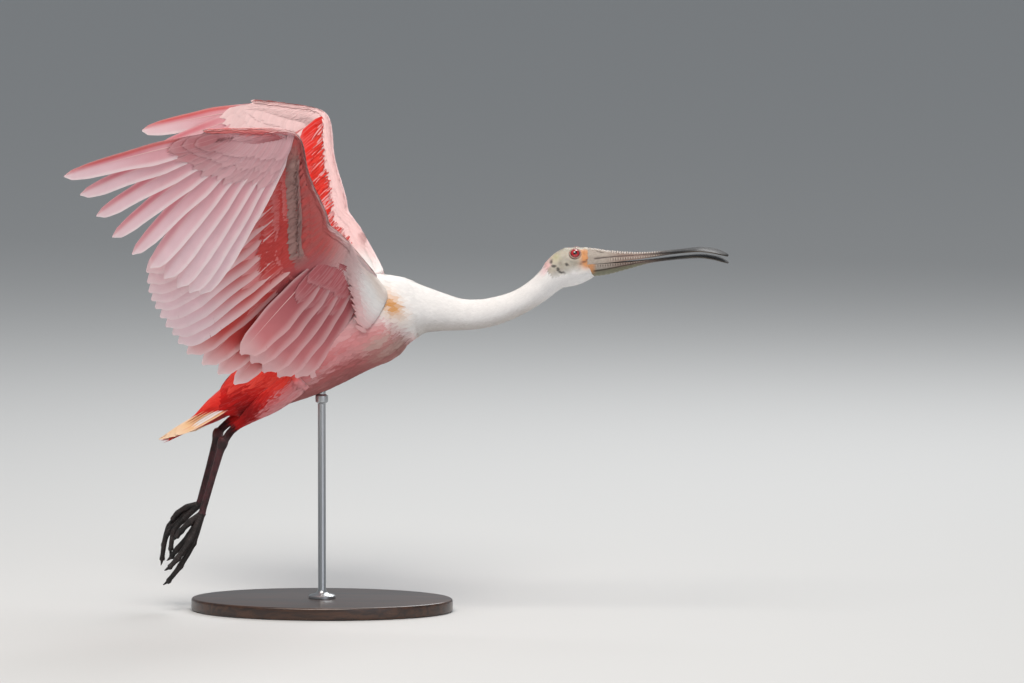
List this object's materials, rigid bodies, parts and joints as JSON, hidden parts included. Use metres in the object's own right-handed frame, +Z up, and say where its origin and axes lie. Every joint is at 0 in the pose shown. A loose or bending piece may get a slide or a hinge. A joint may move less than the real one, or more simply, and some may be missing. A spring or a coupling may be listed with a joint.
{
  "type": "roseate spoonbill model",
  "caption": "Life-size still model of a roseate spoonbill in flight, wings raised, neck stretched forward and legs hanging, held up on a flat oval base by one short rod.",
  "frame": {"origin": "on the floor at the middle of the stand's base, under the rod", "axes": "+X towards the bill, +Y to the bird's left, +Z up"},
  "size_m": [0.7855, 0.7942, 0.6252],
  "materials": {
    "white_plumage": "matt white feathers, fine and close",
    "pink_plumage": "matt pink feathers, darker rose to coral on the coverts",
    "scarlet_plumage": "scarlet coverts over orange-buff tail feathers",
    "bare_skin": "bare greenish-white skin, orange round the eye and the gape",
    "bill_horn": "grey horn, darker along the edges and on the spoon",
    "eye": "wet, red iris and dark pupil",
    "leg_skin": "scaly dark maroon skin",
    "stand_wood": "dark stained, satin",
    "stand_steel": "brushed"
  },
  "bodies": {
    "root": {"torso": "pink_plumage", "neck": "white_plumage", "head": "bare_skin", "bill_upper": "bill_horn", "bill_lower": "bill_horn", "eye_right": "eye", "eye_left": "eye", "tail": "scarlet_plumage", "wing_upperarm_right": "pink_plumage", "wing_forearm_right": "pink_plumage", "wing_hand_right": "pink_plumage", "wing_upperarm_left": "pink_plumage", "wing_forearm_left": "pink_plumage", "wing_hand_left": "pink_plumage", "leg_upper_right": "pink_plumage", "leg_lower_right": "leg_skin", "foot_right": "leg_skin", "leg_upper_left": "pink_plumage", "leg_lower_left": "leg_skin", "foot_left": "leg_skin", "stand_base": "stand_wood", "stand_rod": "stand_steel"}
  },
  "joints": []
}
